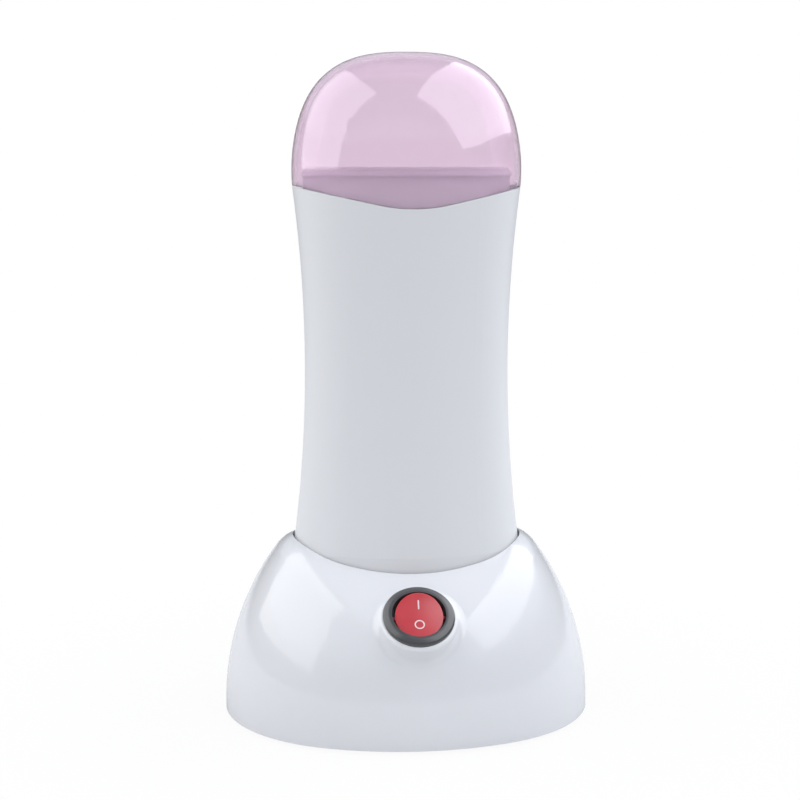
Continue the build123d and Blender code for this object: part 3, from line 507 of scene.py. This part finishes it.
# Rocker: a round key with a dished face and a softened rim, on a thin axle
rocker = {
    "radius": 7.85 * mm,
    "low": -2.4 * mm,               # its back, under the pivot
    "high": 3.3 * mm,               # its rim, over the pivot
    "sides": 160,
    "dishRadius": 24.98 * mm,
    "dishDepth": 1.2 * mm,
    "dishLength": 31.4 * mm,
    "dishSides": 512,
    "axleRadius": 0.8 * mm,
    "axleLength": 18.1 * mm,
    "axleSides": 48,
    "rimRound": 0.35 * mm,
    "rimSegments": 4,
    "rimAngle": radians(40),
    "smooth": radians(30),
    "tilt": radians(12),            # at rest, with the I end raised
}
tiltJoint = [joint for joint in frame["joints"] if joint["name"] == "rocker_tilt"][0]
rockerPivot = Vector(tiltJoint["pos_m"])
rockerTurn = pi / 2 - bezel["slope"] + rocker["tilt"]
acrossTurn = (0, pi / 2, 0)         # lays a cylinder along the hinge


def fromPivot(along, high):
    # the place this far up the rocker's face and this far out of it
    return rockerPivot + Matrix.Rotation(rockerTurn, 3, "X") @ Vector((0, along, high))


def makeRocker():
    deselectAll()
    bpy.ops.mesh.primitive_cylinder_add(
        vertices=rocker["sides"], radius=rocker["radius"], depth=rocker["high"] - rocker["low"],
        location=fromPivot(0, (rocker["high"] + rocker["low"]) / 2), rotation=(rockerTurn, 0, 0))
    piece = bpy.context.object
    piece.name = piece.data.name = "rockerKey"
    bpy.ops.object.transform_apply(location=True, rotation=True, scale=True)
    deselectAll()
    bpy.ops.mesh.primitive_cylinder_add(
        vertices=rocker["dishSides"], radius=rocker["dishRadius"], depth=rocker["dishLength"],
        location=fromPivot(0, rocker["high"] - rocker["dishDepth"] + rocker["dishRadius"]),
        rotation=acrossTurn)
    dish = bpy.context.object
    deselectAll()
    bpy.ops.mesh.primitive_cylinder_add(
        vertices=rocker["axleSides"], radius=rocker["axleRadius"], depth=rocker["axleLength"],
        location=rockerPivot, rotation=acrossTurn)
    axle = bpy.context.object
    for tool, act in ((dish, "DIFFERENCE"), (axle, "UNION")):
        pickOnly(piece)
        applyModifier(piece, "BOOLEAN", operation=act, object=tool)
        bpy.data.objects.remove(tool)
    applyModifier(piece, "BEVEL", width=rocker["rimRound"], segments=rocker["rimSegments"],
                  limit_method="ANGLE", angle_limit=rocker["rimAngle"])
    bpy.ops.object.shade_smooth_by_angle(angle=rocker["smooth"])
    dress(piece, "rockerRed")
    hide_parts("switch_rocker")
    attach(piece, "rocker")
    return piece


makeBezel()
makeNeck()
rockerKey = makeRocker()
print("bezel, neck and rocker made")


# Rocker marks: I at the raised end and O at the pressed end, printed on the dished face
marks = {
    "lift": 0.05 * mm,
    "thickness": 0.12 * mm,         # goes down from the top of the print, into the rocker
    "edge": 0.03 * mm,
    "edgeSegments": 2,
    "smooth": radians(40),
    "barPlace": 4.0 * mm,
    "barSize": (0.48 * mm, 3.1 * mm),
    "barRound": 0.45,               # share of the bar's width
    "barRoundSegments": 5,
    "ringPlace": -2.9 * mm,
    "ringOuter": 1.67 * mm,
    "ringLine": 0.42 * mm,
    "ringSides": 64,
}


def placeOnDish(along):
    # position and turn of a print whose centre is this far up the rocker's face
    radius = rocker["dishRadius"]
    high = rocker["high"] - rocker["dishDepth"] + radius - sqrt(radius ** 2 - along ** 2)
    return fromPivot(along, high), (rockerTurn + asin(along / radius), 0, 0)


def finishMark(mark, name):
    # laid on the dish, given its thickness and a softened edge, then bound to the rocker
    mark.name = mark.data.name = name
    bpy.ops.object.transform_apply(location=True, rotation=True, scale=True)
    applyModifier(mark, "SHRINKWRAP", target=rockerKey, wrap_method="NEAREST_SURFACEPOINT",
                  wrap_mode="ABOVE_SURFACE", offset=marks["lift"])
    applyModifier(mark, "SOLIDIFY", thickness=marks["thickness"], offset=-1)
    applyModifier(mark, "BEVEL", width=marks["edge"], segments=marks["edgeSegments"],
                  limit_method="ANGLE")
    bpy.ops.object.shade_smooth_by_angle(angle=marks["smooth"])
    dress(mark, "markWhite")
    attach(mark, "rocker")


def makeBarMark():
    deselectAll()
    spot, turn = placeOnDish(marks["barPlace"])
    bpy.ops.mesh.primitive_plane_add(size=1, location=spot, rotation=turn)
    mark = bpy.context.object
    mark.scale = (*marks["barSize"], 1)
    bpy.ops.object.transform_apply(location=False, rotation=False, scale=True)
    bpy.ops.object.mode_set(mode="EDIT")
    bpy.ops.mesh.bevel(
        offset=marks["barRound"] * marks["barSize"][0], segments=marks["barRoundSegments"],
        affect="VERTICES")
    bpy.ops.mesh.bisect(plane_co=spot, plane_no=(1, 0, 0))
    bpy.ops.object.mode_set(mode="OBJECT")
    finishMark(mark, "rockerMarkOn")


def makeRingMark():
    deselectAll()
    spot, turn = placeOnDish(marks["ringPlace"])
    bpy.ops.mesh.primitive_circle_add(
        vertices=marks["ringSides"], radius=marks["ringOuter"], fill_type="NGON",
        location=spot, rotation=turn)
    mark = bpy.context.object
    bpy.ops.object.mode_set(mode="EDIT")
    bpy.ops.mesh.inset(thickness=marks["ringLine"])
    bpy.ops.mesh.delete(type="FACE")
    bpy.ops.object.mode_set(mode="OBJECT")
    finishMark(mark, "rockerMarkOff")


makeBarMark()
makeRingMark()
print("rocker marks printed")

bpy.context.scene.view_settings.view_transform = "Standard"
